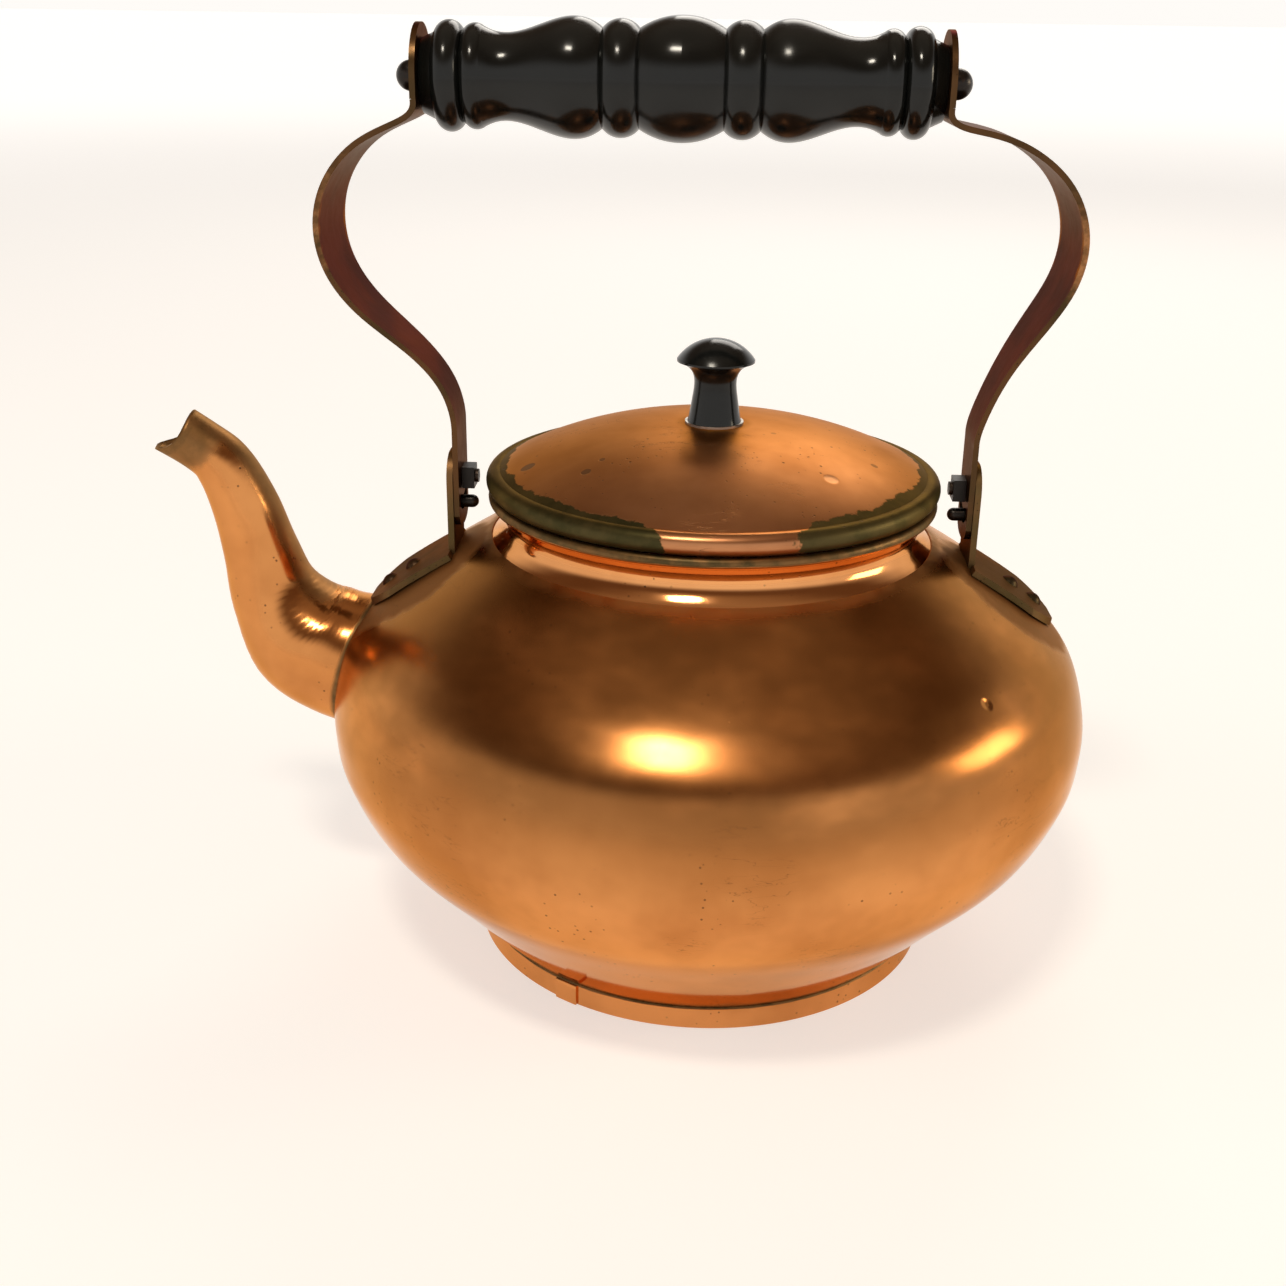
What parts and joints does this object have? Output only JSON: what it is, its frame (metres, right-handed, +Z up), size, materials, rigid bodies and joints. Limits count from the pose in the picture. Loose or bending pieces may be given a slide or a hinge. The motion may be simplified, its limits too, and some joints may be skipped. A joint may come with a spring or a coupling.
{
  "type": "kettle",
  "caption": "Round copper kettle with a beaked spout, a lift-off domed lid with a black knob, and a tilting strap bail with a turned grip.",
  "frame": {"origin": "centre of the foot ring, on the surface that the kettle stands on", "axes": "+Z up along the axis of the body; the spout points to -X; the bail pivots turn about X"},
  "size_m": [0.2493, 0.2002, 0.238],
  "materials": {
    "copper": null,
    "aged_copper": null,
    "dark_steel": "blackened steel",
    "plain_steel": "plain steel",
    "black_wood": "black lacquered turned wood"
  },
  "bodies": {
    "kettle": {"kettle_body": "copper", "base_plate": "copper", "foot_ring": "copper", "neck_collar": "copper", "spout": "copper", "spout_side_bracket": "aged_copper", "back_bracket": "aged_copper", "bracket_rivets": "aged_copper", "pivot_screws": "dark_steel", "pivot_nuts": "dark_steel", "stop_studs": "dark_steel"},
    "bail": {"spout_side_arm": "aged_copper", "back_arm": "aged_copper", "grip_rod": "dark_steel", "rod_nuts": "dark_steel"},
    "grip": {"grip": "black_wood"},
    "lid": {"lid_cover": "copper", "lid_rim_wire": "dark_steel", "lid_flange": "copper", "knob": "black_wood", "knob_washer": "plain_steel", "knob_screw": "dark_steel"}
  },
  "joints": [
    {"name": "bail_tilt", "type": "hinge", "parent": "kettle", "child": "bail", "pos_m": [0, 0, 0.1255], "axis": [1, 0, 0], "range_deg": [-30, 30]},
    {"name": "grip_turn", "type": "hinge", "parent": "bail", "child": "grip", "pos_m": [-0.01005, 0, 0.2237], "axis": [1, 0, 0], "continuous": true},
    {"name": "lid_lift", "type": "slide", "parent": "kettle", "child": "lid", "axis": [0, 0, 1], "range_m": [0, 0.04]}
  ]
}
